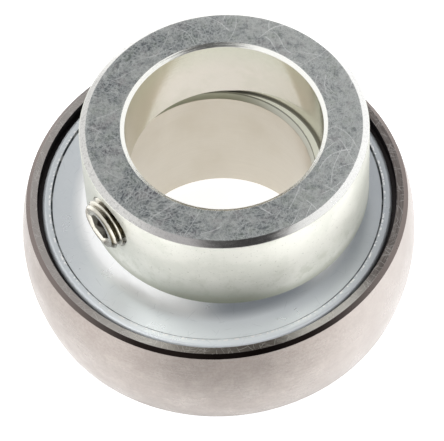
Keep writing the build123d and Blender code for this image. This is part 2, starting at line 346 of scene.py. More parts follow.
# %% Clouds
group, given = start_group("clouds", {"Size": 0.4, "Contrast": 1.0}, "Value")
noise = {"Vector": given["Position"], "Scale": given["Size"], "Detail": 5.0, "Roughness": 0.62}
cloud = add(group, "ShaderNodeTexNoise", noise)
spread = calc(group, "MULTIPLY", calc(group, "SUBTRACT", cloud.outputs["Fac"], 0.5), given["Contrast"])
clouds = end_group(group, calc(group, "ADD", spread, 0.5, clamp=True))

# %% [markdown]
# A turned piece has faces that are finished differently: a ground sphere, a turned land, a dark
# chamfer. Each lies between two radii and two heights, so a mask from those four sizes picks it out.
# The height counts both ways from the middle, because the bearing is the same on both sides. Where a
# mask has to take in a face, or to stop short of it, its limit is a hair's breadth off.

# %% Mask of one turned face
HAIR = 0.02
limits = {"Inside": 0.0, "Outside": 100.0, "Low": 0.0, "High": 100.0, "Softness": 0.03}
group, given = start_group("face_mask", limits, "Mask")
radius, axes = radius_and_height(group, given["Position"])
level = calc(group, "ABSOLUTE", axes["Z"])
mask = 1.0
for value, low, high in ((radius, "Inside", "Outside"), (level, "Low", "High")):
    above = calc(group, "DIVIDE", calc(group, "SUBTRACT", value, given[low]), given["Softness"])
    below = calc(group, "DIVIDE", calc(group, "SUBTRACT", given[high], value), given["Softness"])
    above = calc(group, "ADD", above, 0.5, clamp=True)
    below = calc(group, "ADD", below, 0.5, clamp=True)
    mask = calc(group, "MULTIPLY", mask, calc(group, "MULTIPLY", above, below))
face_mask = end_group(group, mask)

# %% [markdown]
# Each finish starts from the same place: a Principled shader and the position on the piece in
# millimetres. The effects are then placed in it with their own sizes, and colours are laid over one
# another, each as far as a mask says.

# %% Starting a finish
def start_finish(name, roughness, metallic, centre=(0, 0, 0)):
    material = bpy.data.materials.new(name)
    material.use_nodes = True
    tree = material.node_tree
    tree.nodes.clear()
    shader = add(tree, "ShaderNodeBsdfPrincipled", {"Roughness": roughness, "Metallic": metallic})
    add(tree, "ShaderNodeOutputMaterial", {"Surface": shader.outputs[0]})
    place = add(tree, "ShaderNodeTexCoord").outputs["Object"]
    centred = vector_calc(tree, "SUBTRACT", place, centre)
    in_mm = add(tree, "ShaderNodeVectorMath", {0: centred, "Scale": 1 / MM}, operation="SCALE")
    return material, tree, shader, in_mm.outputs[0]


def effect(tree, group, position, **inputs):
    node = add(tree, "ShaderNodeGroup", node_tree=group)
    tree.links.new(position, node.inputs["Position"])
    for label, value in inputs.items():
        node.inputs[label.replace("_", " ")].default_value = value
    return node.outputs[0]


def feed(tree, shader, **sockets):
    for label, value in sockets.items():
        tree.links.new(value, shader.inputs[label.replace("_", " ")])


def tint(tree, colour, mask, paint, share=None):
    """The colour with a paint laid over it, as far as the mask says, or a share of that."""
    if share is not None:
        mask = calc(tree, "MULTIPLY", mask, share)
    return blend(tree, mask, colour, shade(*paint))


def close_to(tree, position, middle, near, far, share):
    """A soft round patch: share within the near distance of its middle, nothing past the far one."""
    return ramp(tree, vector_calc(tree, "DISTANCE", position, middle), near, far, share, 0.0)


def bump(tree, height, depth_mm, strength=1.0):
    inputs = {"Height": height, "Strength": strength, "Distance": depth_mm * MM}
    return add(tree, "ShaderNodeBump", inputs).outputs[0]


finishes = {}

# %% [markdown]
# The outer ring is hardened steel with four finishes: a ground sphere, turned side lands, dark edge chamfers, and
# a step that the seal sits in, painted dark as shade. The ring is one mesh with one material, so masks tell its
# faces apart. The effects that they share are placed first.

# %% Effects and faces of the outer ring
LAND_RADIUS = 27.9
EDGE_RADIUS = 29.13
EDGE_HEIGHT = 0.52
STEP_RADII = (27.0, 28.12)
STEP_HEIGHT = 2.1

half_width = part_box("outer_ring")[1].z / MM
material, tree, shader, spot = start_finish("ring_steel", 0.30, 1.0)
lines = effect(tree, tool_lines, spot, Lines_per_mm=5.0, Along=0.35)
haze = effect(tree, clouds, spot, Size=0.16, Contrast=1.3)
smudge = effect(tree, clouds, spot, Size=0.45, Contrast=2.6)
fleck = effect(tree, clouds, spot, Size=2.6, Contrast=2.4)
marks = effect(tree, hair_scratches, spot, Rows_per_mm=1.4, Width=0.055, Length=2.5, Cover=0.46)
axes = axes_of(tree, spot)
land = effect(tree, face_mask, spot, Inside=LAND_RADIUS, Low=half_width - HAIR)
edge_from, edge_to = half_width - EDGE_HEIGHT, half_width - HAIR / 2
edge = effect(tree, face_mask, spot, Inside=EDGE_RADIUS, Low=edge_from, High=edge_to)
step_in, step_out = STEP_RADII
step_from, step_to = half_width - STEP_HEIGHT, half_width - HAIR
step = effect(tree, face_mask, spot, Inside=step_in, Outside=step_out, Low=step_from, High=step_to)
print("outer ring", round(2 * half_width, 2), "mm wide, land from", LAND_RADIUS, "to", EDGE_RADIUS, "mm")

# %% [markdown]
# The sphere is ground bright, with fine lines round it, soft smudges and a fine grain. It is painted darker
# towards its upper edge, a painted shade, and lighter on the right, a painted light. Each of these is one more
# colour laid over the last.

# %% Its sphere
# Painted shade: the sphere darker towards its upper edge.
to_edge = ramp(tree, axes["Z"], -3.0, half_width)
bright = blend(tree, ramp(tree, lines, 0.34, 0.66), shade(172, 164, 159), shade(183, 176, 171))
bright = tint(tree, bright, ramp(tree, haze, 0.3, 0.8), (174, 165, 160))
bright = tint(tree, bright, ramp(tree, smudge, 0.55, 0.9, 0.0, 0.35), (196, 188, 181))
bright = tint(tree, bright, ramp(tree, smudge, 0.45, 0.1, 0.0, 0.30), (158, 149, 145))
bright = tint(tree, bright, to_edge, (138, 128, 122), 0.52)
bright = tint(tree, bright, ramp(tree, fleck, 0.3, 0.8), (206, 197, 189), 0.10)
bright = tint(tree, bright, ramp(tree, fleck, 0.6, 0.1), (138, 128, 123), 0.10)
# Painted light: the sphere lighter on the right.
bright = tint(tree, bright, ramp(tree, axes["X"], 11.0, 26.0, 0.0, 0.50), (208, 201, 197))
print("nodes after the sphere:", len(tree.nodes))

# %% [markdown]
# The land is slightly brown from hardening, and painted darker on the right as shade. Handling has marked it with
# scratches. Painted highlights make it bright in two places, with a painted shade left dull between them. Such
# places could be painted on a texture, but a middle, two distances, a share and a colour say each in one line. The
# edge chamfer is dark, and painted darkest in front as shade.

# %% Its land, edge and step
SHADE_PATCH = ((2.5, -28.5), 4.0, 12.0, 0.60, (98, 92, 89))
RIGHT_HIGHLIGHT = ((16.0, -23.6), 3.0, 11.0, 0.62, (246, 243, 240))
LEFT_HIGHLIGHT = ((-14.6, -24.5), 2.0, 9.0, 0.50, (232, 229, 226))

# Painted shade: the land darker on the right.
to_right = ramp(tree, axes["X"], -29.0, 14.0)
turned = blend(tree, to_right, shade(181, 175, 171), shade(116, 109, 106))
turned = tint(tree, turned, ramp(tree, lines, 0.4, 0.65), (182, 176, 172), 0.30)
# Painted highlights in two places on the land, and a painted shade between them.
for middle, near, far, share, paint in (SHADE_PATCH, RIGHT_HIGHLIGHT, LEFT_HIGHLIGHT):
    turned = tint(tree, turned, close_to(tree, spot, (*middle, half_width), near, far, share), paint)
turned = tint(tree, turned, marks, (244, 241, 238), 0.46)
# The dark edge chamfer is painted darker still in front, a painted shade.
to_side = ramp(tree, calc(tree, "ABSOLUTE", axes["X"]), 12.0, 30.5)
chamfer = blend(tree, to_side, shade(34, 28, 26), shade(136, 126, 122))
colour = blend(tree, land, bright, turned)
colour = blend(tree, edge, colour, chamfer)
# The step is painted dark, a painted shade round the seal.
colour = tint(tree, colour, step, (62, 58, 59))
roughness = calc(tree, "MULTIPLY_ADD", step, 0.15, ramp(tree, haze, 0.2, 0.8, 0.24, 0.36))
feed(tree, shader, Base_Color=colour, Roughness=roughness, Normal=bump(tree, lines, 0.002))
finishes["ring_steel"] = material
print("ring_steel has", len(tree.nodes), "nodes")

# %% [markdown]
# The inner ring shows only through the collar: its bore, ground to fit the shaft, the chamfer at the bore's mouth,
# and its end face. A painted shade line runs under the chamfer's upper edge, and a painted shadow where the end
# face goes under the collar. The shadow follows the collar, which sits off the ring's axis, so its mask is centred
# on the middle of the collar's box.

# %% Faces of the inner ring
BORE_RADIUS = 15.02
MOUTH_HEIGHT = 1.25
BROW_HEIGHTS = (0.26, 0.03)
GAP_RADIUS = 14.72
END_SKIN = 0.05

inner_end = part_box("inner_ring")[1].z / MM
low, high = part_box("locking_collar")
collar_centre = ((low.x + high.x) / 2, (low.y + high.y) / 2, 0)
material, tree, shader, spot = start_finish("inner_ring_steel", 0.34, 1.0)
from_collar = vector_calc(tree, "SUBTRACT", spot, [v / MM for v in collar_centre])
end_face = effect(tree, face_mask, spot, Low=inner_end - END_SKIN)
gap = effect(tree, face_mask, from_collar, Inside=GAP_RADIUS, Low=inner_end - END_SKIN, Softness=0.10)
mouth = effect(tree, face_mask, spot, Inside=BORE_RADIUS, Low=inner_end - MOUTH_HEIGHT)
brow_from, brow_to = (inner_end - v for v in BROW_HEIGHTS)
brow = effect(tree, face_mask, spot, Inside=BORE_RADIUS, Low=brow_from, High=brow_to, Softness=0.12)
print("inner ring ends at", round(inner_end, 2), "mm")
print("collar's middle at", [round(v / MM, 2) for v in collar_centre], "mm")

# %% [markdown]
# The light in the bore has bounced several times between warm metal walls, so the steel there is warmer.
# The chamfer is painted darker at its foot and lighter at its top, and brighter still on the right: painted shade
# and highlight. The end face is bright. The chamfer and the end face scatter some light as well, so they are less
# metallic.

# %% Steel of the inner ring
lines = effect(tree, tool_lines, spot, Lines_per_mm=5.0, Along=0.12)
haze = effect(tree, clouds, spot, Size=0.12, Contrast=1.0)
axes = axes_of(tree, spot)
to_right = ramp(tree, axes["X"], 2.0, 13.0)
# Painted shade and highlight: the chamfer darker at its foot, lighter at its top and brightest on the right.
up_mouth = ramp(tree, axes["Z"], inner_end - 1.1, inner_end)
cut = blend(tree, up_mouth, shade(188, 190, 170), shade(226, 228, 214))
cut = tint(tree, cut, to_right, (253, 254, 248), 0.7)
# Painted shade: a dark line under the chamfer's upper edge.
cut = tint(tree, cut, brow, (104, 104, 88), 0.75)
colour = blend(tree, ramp(tree, lines, 0.2, 0.8), shade(216, 209, 196), shade(220, 213, 200))
colour = tint(tree, colour, ramp(tree, haze, 0.35, 0.8), (213, 205, 190))
colour = blend(tree, mouth, colour, cut)
colour = tint(tree, colour, end_face, (246, 248, 236))
# Painted shadow where the end face goes under the collar.
colour = tint(tree, colour, gap, (92, 88, 72), 0.85)
at_end = calc(tree, "MAXIMUM", mouth, end_face)
scatter = calc(tree, "MULTIPLY", at_end, ramp(tree, to_right, 0.0, 1.0, 0.25, 0.65))
feed(tree, shader, Base_Color=colour, Roughness=ramp(tree, haze, 0.2, 0.8, 0.30, 0.38))
feed(tree, shader, Metallic=calc(tree, "SUBTRACT", 1.0, scatter))
feed(tree, shader, Normal=bump(tree, lines, 0.002))
finishes["inner_ring_steel"] = material
print("inner_ring_steel has", len(tree.nodes), "nodes")

# %% [markdown]
# The collar is plated with zinc, and each of its faces has worn in its own way. The patterns are centred
# on its own axis. One shader has to hold all the faces at once, which is near its limit, so they share
# the effects, and masks tell them apart.

# %% Effects and faces of the collar
SIDE_SKIN = 0.2
SIDE_BELOW_TOP = 0.65
BORE_OUTSIDE = 15.3
BORE_BELOW_TOP = 0.5

collar_radius = (high.x - low.x) / 2 / MM
collar_top = high.z / MM
collar_foot = low.z / MM
material, tree, shader, spot = start_finish("collar_zinc", 0.30, 0.95, collar_centre)
haze = effect(tree, clouds, spot, Size=0.17, Contrast=2.6)
smoke = effect(tree, clouds, spot, Size=0.60, Contrast=2.6)
mottle = effect(tree, clouds, spot, Size=0.38, Contrast=3.0)
grain = effect(tree, clouds, spot, Size=2.6, Contrast=3.0)
lines = effect(tree, tool_lines, spot, Lines_per_mm=5.0, Along=0.30)
fine = effect(tree, hair_scratches, spot, Rows_per_mm=2.2, Width=0.095, Length=1.1, Cover=0.54)
marks = effect(tree, long_scratches, spot, Rows_per_mm=0.60, Width=0.085, Length=8.0, Cover=0.41)
axes = axes_of(tree, spot)
to_right = ramp(tree, calc(tree, "MULTIPLY_ADD", axes["Y"], 0.3, axes["X"]), -10.0, 20.0)
top = effect(tree, face_mask, spot, Low=collar_top - HAIR)
side = effect(tree, face_mask, spot, Inside=collar_radius - SIDE_SKIN, High=collar_top - SIDE_BELOW_TOP)
bore = effect(tree, face_mask, spot, Outside=BORE_OUTSIDE, High=collar_top - BORE_BELOW_TOP)
print("collar", round(2 * collar_radius, 2), "mm wide, top at", round(collar_top, 2), "mm")

# %% [markdown]
# The flat top has rubbed against other parts. It is cloudy, with hair scratches in patches and a few long bright
# ones. It is painted lighter towards the right and towards its edge, as painted light. A table lists the clouds:
# the pattern, the values at which one begins and is full, its colour, and how much of it shows.

# %% Its rubbed top
TOP_EDGE_RADIUS = 21.0
TOP_CLOUDS = [
    (smoke, 0.50, 0.9, (192, 194, 191), 0.55),
    (smoke, 0.50, 0.1, (92, 98, 104), 0.55),
    (mottle, 0.60, 0.9, (128, 140, 124), 0.30),
    (mottle, 0.40, 0.1, (142, 128, 134), 0.25),
    (grain, 0.50, 0.9, (210, 213, 211), 0.32),
    (grain, 0.50, 0.1, (86, 91, 94), 0.26),
]

flat = blend(tree, ramp(tree, haze, 0.20, 0.80), shade(106, 111, 114), shade(176, 179, 177))
# Painted light: the top lighter to the right.
flat = tint(tree, flat, to_right, (198, 201, 199), 0.74)
for cloud, nothing_at, full_at, paint, share in TOP_CLOUDS:
    flat = tint(tree, flat, ramp(tree, cloud, nothing_at, full_at), paint, share)
flat = tint(tree, flat, fine, (216, 220, 219), ramp(tree, haze, 0.80, 0.25, 0.22, 0.62))
flat = tint(tree, flat, marks, (250, 251, 251), ramp(tree, axes["X"], -14.0, 6.0, 0.35, 0.80))
# Painted highlight: the top lighter towards its edge.
near_edge = effect(tree, face_mask, spot, Inside=TOP_EDGE_RADIUS, Softness=1.8)
flat = tint(tree, flat, near_edge, (236, 238, 236), 0.38)
print("clouds on the top:", len(TOP_CLOUDS))

# %% [markdown]
# The side is satin, pale and slightly green, with blotches and dark specks. Low in front it is painted dark, a
# painted shade with some stain. It is painted a little darker along its foot and at the far left and right, as
# painted shade.

# %% Its pale side
FOOT_SHADE_MIDDLE = (-3.5, -22.5, collar_foot + 1.0)
LIT_MIDDLE = (13.5, -18.3, collar_foot + 2.0)

pale = blend(tree, ramp(tree, haze, 0.3, 0.8), shade(238, 238, 229), shade(229, 230, 220))
# Painted shade: darker along the foot.
above_foot = ramp(tree, axes["Z"], collar_foot, collar_foot + 2.5)
# Painted shade with some stain, low in front.
at_foot = close_to(tree, spot, FOOT_SHADE_MIDDLE, 4.0, 15.0, 0.90)
at_foot = calc(tree, "MULTIPLY", at_foot, ramp(tree, axes["Z"], collar_foot + 8.0, collar_foot))
lit_foot = close_to(tree, spot, LIT_MIDDLE, 3.0, 9.0, 0.35)
blotches = ramp(tree, mottle, 0.45, 0.95)
blotches = calc(tree, "MULTIPLY", blotches, ramp(tree, axes["Z"], collar_foot + 9.0, collar_foot + 3.0))
pale = tint(tree, pale, blotches, (198, 201, 184), 0.45)
# Painted shade at the far left and right of the side.
at_ends = ramp(tree, calc(tree, "ABSOLUTE", axes["X"]), 17.0, 21.5, 0.0, 0.45)
pale = tint(tree, pale, at_ends, (192, 196, 184))
pale = tint(tree, pale, ramp(tree, grain, 0.16, 0.0, 0.0, 0.40), (150, 153, 138))
pale = blend(tree, above_foot, shade(186, 188, 174), pale)
pale = tint(tree, pale, at_foot, (122, 125, 110))
print("stain at", [round(v, 2) for v in FOOT_SHADE_MIDDLE])

# %% [markdown]
# The bore is smoother and a little warmer, painted darker on the left and right as shade, and greener towards the
# top. The chamfers are turned bright with a few streaks, painted brighter to the right as light, and painted dark
# in front as shade.

# %% Its bore and chamfers
DARK_MIDDLE = (-3.0, -22.0, collar_top)
MOUTH_OUTSIDE = 18.0
MOUTH_BELOW_TOP = 0.6

warm = blend(tree, ramp(tree, haze, 0.3, 0.8), shade(228, 223, 213), shade(222, 218, 206))
# Painted shade: the bore darker on the left and right.
at_sides = ramp(tree, calc(tree, "ABSOLUTE", axes["X"]), 7.0, 12.5, 0.0, 0.60)
warm = tint(tree, warm, at_sides, (198, 194, 176))
up_bore = ramp(tree, axes["Z"], collar_top - 6.5, collar_top - 0.5, 0.0, 0.40)
warm = tint(tree, warm, up_bore, (205, 214, 194))
streaks = ramp(tree, grain, 0.50, 0.15)
streaks = calc(tree, "MULTIPLY", streaks, ramp(tree, axes["X"], -4.0, 16.0, 0.34, 0.10))
# Painted light: the chamfers brighter to the right.
chamfer = blend(tree, ramp(tree, axes["X"], 2.0, 20.0), shade(214, 213, 210), shade(251, 251, 249))
chamfer = tint(tree, chamfer, streaks, (150, 148, 148))
# Painted shade: a dark stretch on the chamfer in front.
chamfer = tint(tree, chamfer, close_to(tree, spot, DARK_MIDDLE, 6.0, 15.0, 0.70), (150, 147, 147))
mouth = effect(tree, face_mask, spot, Outside=MOUTH_OUTSIDE, Low=collar_top - MOUTH_BELOW_TOP)
chamfer = tint(tree, chamfer, mouth, (251, 251, 246))
print("nodes so far:", len(tree.nodes))

# %% [markdown]
# The masks now choose a colour for each face. A satin plating scatters some light, so the side is
# rougher and less metallic. The relief is the scratches and the grain on the top, and the lines of the
# lathe everywhere else, deepest on the chamfers.

# %% The collar's faces put together
colour = blend(tree, side, chamfer, pale)
colour = blend(tree, bore, colour, warm)
colour = blend(tree, top, colour, flat)
roughness = calc(tree, "MULTIPLY_ADD", top, 0.14, ramp(tree, grain, 0.2, 0.8, 0.12, 0.18))
roughness = calc(tree, "MULTIPLY_ADD", side, 0.20, roughness)
metallic = calc(tree, "MULTIPLY_ADD", side, -0.35, calc(tree, "SUBTRACT", 0.95, lit_foot))
scratched = calc(tree, "MAXIMUM", fine, marks)
relief = calc(tree, "MULTIPLY_ADD", scratched, -0.5, calc(tree, "MULTIPLY", grain, 0.4))
off_edge = calc(tree, "MAXIMUM", top, calc(tree, "MAXIMUM", side, bore))
turned = calc(tree, "MULTIPLY", lines, calc(tree, "MULTIPLY_ADD", off_edge, -5.0, 6.0))
turned = calc(tree, "MULTIPLY", turned, calc(tree, "SUBTRACT", 1.0, top))
relief = calc(tree, "MULTIPLY_ADD", relief, top, turned)
feed(tree, shader, Base_Color=colour, Roughness=roughness, Metallic=metallic)
feed(tree, shader, Normal=bump(tree, relief, 0.005))
finishes["collar_zinc"] = material
print("collar_zinc has", len(tree.nodes), "nodes")

# %% [markdown]
# The seal's washers are pressed from zinc-plated sheet. A crease near the rim steps down to the flat
# face, and near the collar the sheet rises in a dish. The CAD mesh has these forms already, so the masks
# only follow it with the same radii.

# %% Effects and faces of the washers
CREASE_RADIUS = 25.86
CREASE_LINE = (CREASE_RADIUS - 0.15, CREASE_RADIUS + 0.12)
SPARK_LINE = (CREASE_RADIUS + 0.16, CREASE_RADIUS + 0.44)
DISH_RADIUS = 21.9
ROLLED_WIDTH = 0.50
RIM_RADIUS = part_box("upper_seal_outer_washer")[1].x / MM

material, tree, shader, spot = start_finish("seal_zinc", 0.42, 0.70)
haze = effect(tree, clouds, spot, Size=0.14, Contrast=1.6)
grain = effect(tree, clouds, spot, Size=2.4, Contrast=1.4)
broken = effect(tree, clouds, spot, Size=0.35, Contrast=4.0)
sparkle = effect(tree, clouds, spot, Size=1.5, Contrast=5.0)
marks = effect(tree, long_scratches, spot, Rows_per_mm=0.50, Width=0.05, Length=2.5, Cover=0.38)
crease = effect(tree, face_mask, spot, Inside=CREASE_LINE[0], Outside=CREASE_LINE[1])
spark_ring = effect(tree, face_mask, spot, Inside=SPARK_LINE[0], Outside=SPARK_LINE[1])
rim = effect(tree, face_mask, spot, Inside=RIM_RADIUS - HAIR, Softness=0.30)
rolled = effect(tree, face_mask, spot, Inside=RIM_RADIUS - ROLLED_WIDTH, Softness=0.30)
dish = effect(tree, face_mask, spot, Outside=DISH_RADIUS, Softness=1.8)
axes = axes_of(tree, spot)
to_side = ramp(tree, calc(tree, "ABSOLUTE", axes["X"]), 6.0, 20.0)
to_front = ramp(tree, axes["Y"], -8.0, -22.0)
print("washer's crease at", CREASE_RADIUS, "mm, its rim at", round(RIM_RADIUS, 2), "mm")

# %% [markdown]
# The flat face is satin, painted brightest in front and darker at the far left and right, as painted light and
# shade. The crease is painted dark in places as shade, and its edge has painted glints. The dish is painted bright
# as a highlight, with painted shade on its right near the collar, and the rolled rim is painted darker towards the
# ring, most at the sides, as shade.

# %% Zinc of the washers
SHADED_MIDDLE = (6.5, -21.0, 8.0)

satin = blend(tree, ramp(tree, haze, 0.3, 0.8), shade(230, 234, 237), shade(223, 228, 232))
satin = tint(tree, satin, ramp(tree, grain, 0.3, 0.8), (240, 243, 245), 0.20)
# Painted light: the flat face brightest in front.
satin = tint(tree, satin, to_front, (246, 251, 255), 0.85)
# Painted shade: the flat face darker on the right and at the far left.
satin = tint(tree, satin, ramp(tree, axes["X"], 4.0, 26.0, 0.0, 0.60), (172, 178, 185))
satin = tint(tree, satin, ramp(tree, axes["X"], -14.0, -27.0, 0.0, 0.45), (196, 202, 208))
# Painted highlight on the dish, with painted shade on its right near the collar.
shaded = close_to(tree, spot, SHADED_MIDDLE, 5.0, 13.0, 0.75)
satin = blend(tree, dish, satin, blend(tree, shaded, shade(250, 251, 251), shade(170, 178, 188)))
satin = tint(tree, satin, marks, (150, 158, 166), 0.3)
# Painted shade in the crease, broken up and a little stronger at the sides.
crease_shade = calc(tree, "MULTIPLY", crease, ramp(tree, broken, 0.15, 0.6, 0.55, 1.0))
crease_shade = calc(tree, "MULTIPLY", crease_shade, ramp(tree, to_side, 0.0, 1.0, 0.80, 1.0))
colour = tint(tree, satin, crease_shade, (58, 64, 72))
# Painted glints along the crease's edge.
sparks = calc(tree, "MULTIPLY", spark_ring, ramp(tree, sparkle, 0.50, 0.75))
colour = tint(tree, colour, spark_ring, (206, 212, 218), 0.25)
colour = tint(tree, colour, sparks, (254, 254, 254))
# Painted shade on the rolled rim, most at the sides.
colour = tint(tree, colour, rim, (70, 78, 88), ramp(tree, to_side, 0.0, 1.0, 0.10, 0.45))
front_flat = calc(tree, "MULTIPLY", to_front, calc(tree, "SUBTRACT", 1.0, dish))
less = calc(tree, "MULTIPLY", rolled, 0.50)
less = calc(tree, "MAXIMUM", less, calc(tree, "MULTIPLY", front_flat, 0.17))
feed(tree, shader, Base_Color=colour, Roughness=ramp(tree, haze, 0.2, 0.8, 0.27, 0.36))
feed(tree, shader, Metallic=calc(tree, "SUBTRACT", 0.70, less), Normal=bump(tree, grain, 0.003))
finishes["seal_zinc"] = material
print("seal_zinc has", len(tree.nodes), "nodes")

# %% [markdown]
# The remaining finishes belong to pieces that hide behind the seals, but they show when the model is
# opened: polished balls, a cage moulded in a pale plastic, and black rubber.

# %% Balls, cage and rubber
material, tree, shader, spot = start_finish("ball_steel", 0.08, 1.0)
haze = effect(tree, clouds, spot, Size=0.5, Contrast=1.2)
feed(tree, shader, Base_Color=blend(tree, haze, shade(226, 227, 230), shade(236, 237, 240)))
feed(tree, shader, Roughness=ramp(tree, haze, 0.2, 0.8, 0.06, 0.12))
finishes["ball_steel"] = material

material, tree, shader, spot = start_finish("cage_polyamide", 0.45, 0.0)
haze = effect(tree, clouds, spot, Size=0.3, Contrast=1.2)
grain = effect(tree, clouds, spot, Size=3.0, Contrast=1.0)
feed(tree, shader, Base_Color=blend(tree, haze, shade(226, 216, 190), shade(238, 230, 208)))
feed(tree, shader, Roughness=ramp(tree, grain, 0.2, 0.8, 0.38, 0.55), Normal=bump(tree, grain, 0.01))
finishes["cage_polyamide"] = material

material, tree, shader, spot = start_finish("seal_rubber", 0.6, 0.0)
grain = effect(tree, clouds, spot, Size=2.2, Contrast=1.6)
feed(tree, shader, Base_Color=blend(tree, grain, shade(30, 30, 31), shade(46, 46, 47)))
feed(tree, shader, Roughness=ramp(tree, grain, 0.2, 0.8, 0.5, 0.75), Normal=bump(tree, grain, 0.02))
finishes["seal_rubber"] = material
print("finishes so far:", sorted(finishes))

# %% [markdown]
# The set screw sits in a threaded hole in the collar. The frame says where: its axis is that of the
# joint that moves it, its middle is the middle of its CAD node's box, and its length is how far that
# node's points reach along the axis.

# %% Place and length of the set screw
joint = next(j for j in frame["joints"] if j["name"] == "screw_travel")
screw_axis = Vector(joint["axis"]).normalized()
low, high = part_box("set_screw")
screw_middle = (low + high) / 2
reach = [(v.co - screw_middle).dot(screw_axis) for v in nodes["set_screw"].data.vertices]
screw_length = (max(reach) - min(reach)) / MM
print("set screw", round(screw_length, 3), "mm long")

# %% [markdown]
# The screw is bright plated steel. Its thread grooves are painted dark as shade, less on the side that faces the
# back and near the end that sticks out, which are painted lighter as light, so its colour follows the height
# within the thread. Its socket is painted darker with depth as shade, and sooner in the corners than on the flats.
# The height in the thread and the depth of the socket's painted shade are stored on the mesh as attributes when
# the screw is made below.

# %% Steel of the set screw
LIT_END = (1.9, 1.2)

material, tree, shader, spot = start_finish("screw_steel", 0.26, 1.0, screw_middle)
depth = add(tree, "ShaderNodeAttribute", attribute_name="thread_height").outputs["Fac"]
socket_shade = add(tree, "ShaderNodeAttribute", attribute_name="socket_depth").outputs["Fac"]
haze = effect(tree, clouds, spot, Size=0.8, Contrast=1.6)
axes = axes_of(tree, spot)
# Painted light: the thread lighter towards the back and near the end that sticks out.
to_back = ramp(tree, axes["Y"], -2.0, 2.8)
plated = blend(tree, haze, shade(204, 200, 188), shade(222, 219, 208))
outward = vector_calc(tree, "DOT_PRODUCT", spot, screw_axis)
end_from, end_to = (screw_length / 2 - v for v in LIT_END)
near_end = ramp(tree, outward, end_from, end_to, 0.0, 0.65)
near_end = calc(tree, "MULTIPLY", near_end, ramp(tree, axes["Y"], -3.4, -0.6))
lit_part = calc(tree, "MAXIMUM", to_back, near_end)
# Painted shade in the grooves of the thread.
groove_shade = blend(tree, lit_part, shade(92, 85, 66), shade(210, 205, 192))
shaded_thread = blend(tree, ramp(tree, depth, 0.25, 1.0), groove_shade, plated)
# Painted shade deep in the socket.
feed(tree, shader, Base_Color=tint(tree, shaded_thread, ramp(tree, socket_shade, 0.25, 0.50), (88, 78, 70)))
feed(tree, shader, Roughness=ramp(tree, haze, 0.2, 0.8, 0.16, 0.26))
feed(tree, shader, Metallic=calc(tree, "MULTIPLY_ADD", lit_part, -0.55, 1.0))
finishes["screw_steel"] = material
print("screw_steel has", len(tree.nodes), "nodes")

# %% [markdown]
# Each CAD node takes the finish that its material slot names in the record. Its mesh isn't touched:
# only the material in its slot changes.

# %% Finishes on the CAD nodes
for part in frame["record"]["subparts"]:
    mesh = nodes[part["node"]].data
    mesh.materials.clear()
    mesh.materials.append(finishes[part["material_slot"]])

# %% [markdown]
# The set screw clamps the collar to the shaft: a headless screw with a hexagon socket in one end and a
# sharp-edged cup in the other. The CAD model has it plain, because its thread is fine work. The sizes
# are in millimetres. The screw has stopped with its socket a few points round from the CAD's.

# %% Sizes of the set screw
SCREW_RADIUS = 4.0
SOCKET_FLATS = 4.0
SOCKET_CORNER = SOCKET_FLATS / 2 / math.cos(math.pi / 6)
SOCKET_DEPTH = 4.0
SOCKET_TIP = 0.8
SOCKET_RIM = 0.25
SOCKET_TURN = 5
LIGHT_REACHES = 1.35
SHADE_ON_FLATS = 0.48
CUP_RADIUS = 2.2
CUP_DEPTH = 1.0
CUP_EDGE = 0.10
END_CHAMFER = 0.60
FACE_INSET = 0.05
TIP_RADIUS = 0.02
THREAD_PITCH = 1.0
THREAD_DEPTH = 0.58
POINTS_ROUND = 96
RINGS_PER_PITCH = 14

print("thread turns on the screw:", round(screw_length / THREAD_PITCH, 2))

# %% [markdown]
# A blank is made first as a stack of rings, from the middle of the socket's floor over the rim and down
# the shank to the middle of the cup. The socket's rings follow a hexagon instead of a circle, and one of
# them says how deep the light reaches. A cylinder with a hole cut in it would do too, but the thread
# needs rings at an even distance.

# %% The blank, ring by ring
def circle(radius):
    return [radius] * POINTS_ROUND


def hexagon():
    radii = []
    for i in range(POINTS_ROUND):
        turned = 2 * math.pi * (i - SOCKET_TURN) / POINTS_ROUND
        off_flat = (turned + math.pi / 6) % (math.pi / 3) - math.pi / 6
        radii.append(SOCKET_FLATS / 2 / math.cos(off_flat))
    return radii


head = screw_length / 2
shank_rings = int(screw_length / THREAD_PITCH * RINGS_PER_PITCH)
rings = [
    (circle(TIP_RADIUS), head - SOCKET_DEPTH - SOCKET_TIP, 0),
    (hexagon(), head - SOCKET_DEPTH, 0),
    (hexagon(), head - LIGHT_REACHES, 0),
    (hexagon(), head - SOCKET_RIM, 0),
    (circle(SOCKET_CORNER + SOCKET_RIM), head, 0),
    (circle(SCREW_RADIUS - END_CHAMFER - FACE_INSET), head, 0),
]
for i in range(shank_rings + 1):
    along = head - screw_length * i / shank_rings
    from_end = min(head - along, head + along)
    rings.append((circle(min(SCREW_RADIUS, SCREW_RADIUS - END_CHAMFER + from_end)), along, 1))
rings += [
    (circle(CUP_RADIUS + CUP_EDGE), -head, 0),
    (circle(CUP_RADIUS), -head, 0),
    (circle(TIP_RADIUS), -head + CUP_DEPTH, 0),
]
print("rings in the blank:", len(rings))

# %% [markdown]
# Every ring has as many points as the others, so quads join them. Two attributes go on the points: which of them
# lie on the shank, for the thread, and how much painted shade the socket gets, for the finish.

# %% The blank as a mesh
points = []
on_shank = []
for radii, along, shank in rings:
    for i, radius in enumerate(radii):
        angle = 2 * math.pi * i / POINTS_ROUND
        points.append((radius * math.cos(angle), radius * math.sin(angle), along))
        on_shank.append(shank)
faces = [list(range(POINTS_ROUND))]
for k in range(len(rings) - 1):
    for i in range(POINTS_ROUND):
        a = k * POINTS_ROUND + i
        b = k * POINTS_ROUND + (i + 1) % POINTS_ROUND
        faces.append([a, a + POINTS_ROUND, b + POINTS_ROUND, b])
last = (len(rings) - 1) * POINTS_ROUND
faces.append([last + i for i in reversed(range(POINTS_ROUND))])

